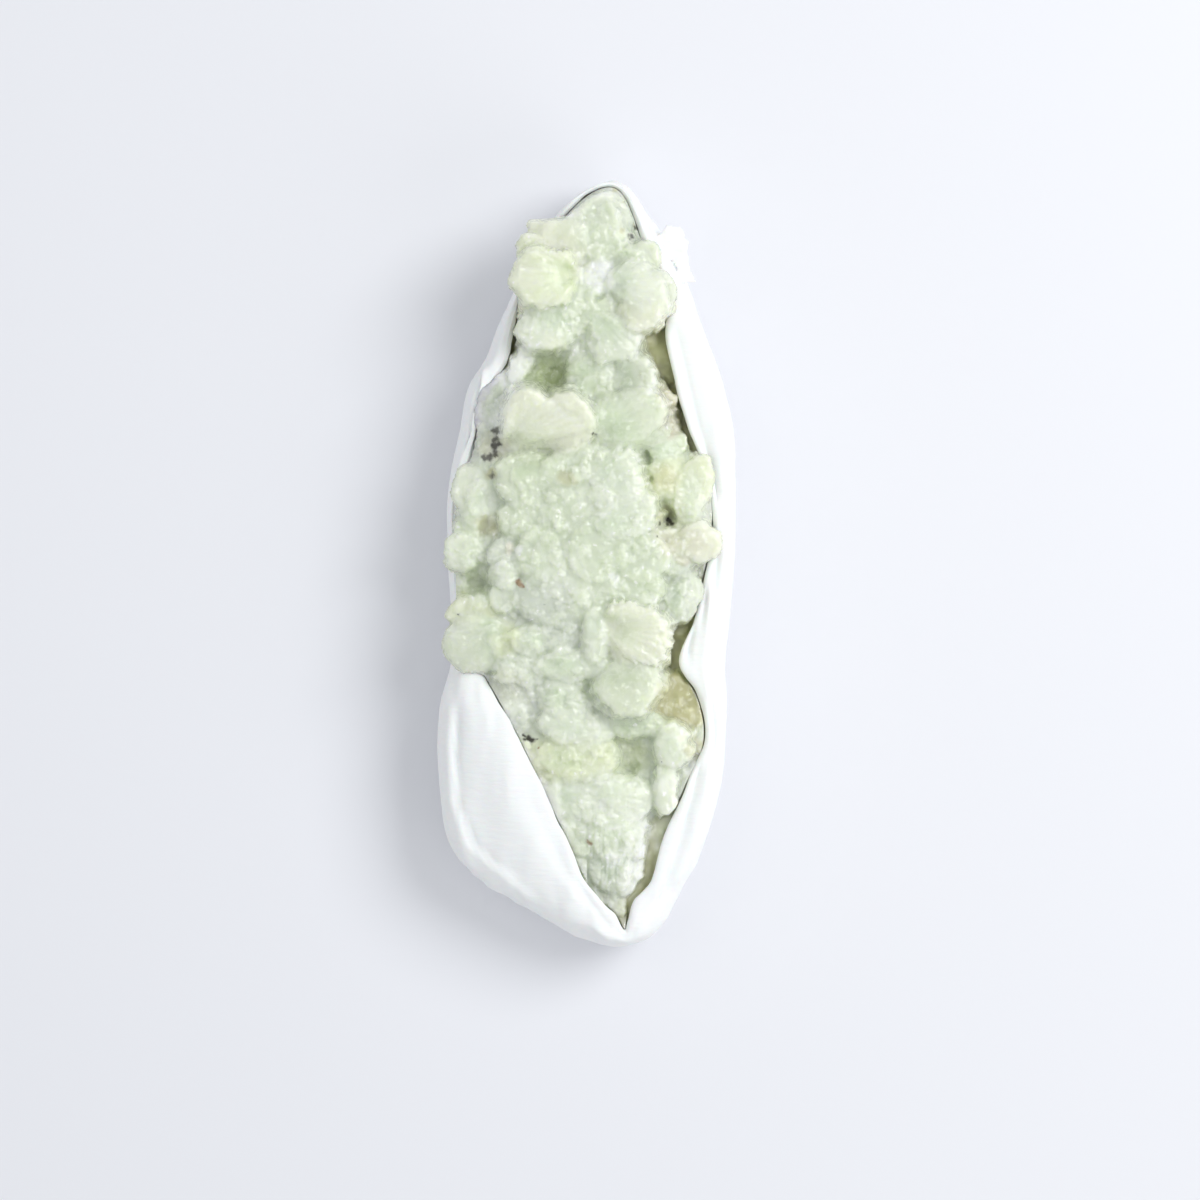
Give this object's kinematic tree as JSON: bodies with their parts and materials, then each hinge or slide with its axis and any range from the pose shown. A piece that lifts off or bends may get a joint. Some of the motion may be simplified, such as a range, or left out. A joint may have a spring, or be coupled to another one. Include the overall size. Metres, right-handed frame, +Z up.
{
  "type": "prehnite plate",
  "caption": "Elongated plate of intergrown pale green prehnite fans and rounded crests, lying in a folded boat of thin white tissue.",
  "frame": {"origin": "centre of the footprint, on the surface that the wrapped specimen lies on", "axes": "+Y along the length towards the narrow tip with the torn scrap, +Z up through the crystal side"},
  "size_m": [0.0466, 0.1199, 0.0247],
  "materials": {
    "prehnite": "pale apple green, translucent, pearly crests with cream edges",
    "tissue": "matt white, soft, slightly translucent"
  },
  "bodies": {
    "root": {"prehnite_plate": "prehnite", "tissue_wrap": "tissue"}
  },
  "joints": []
}
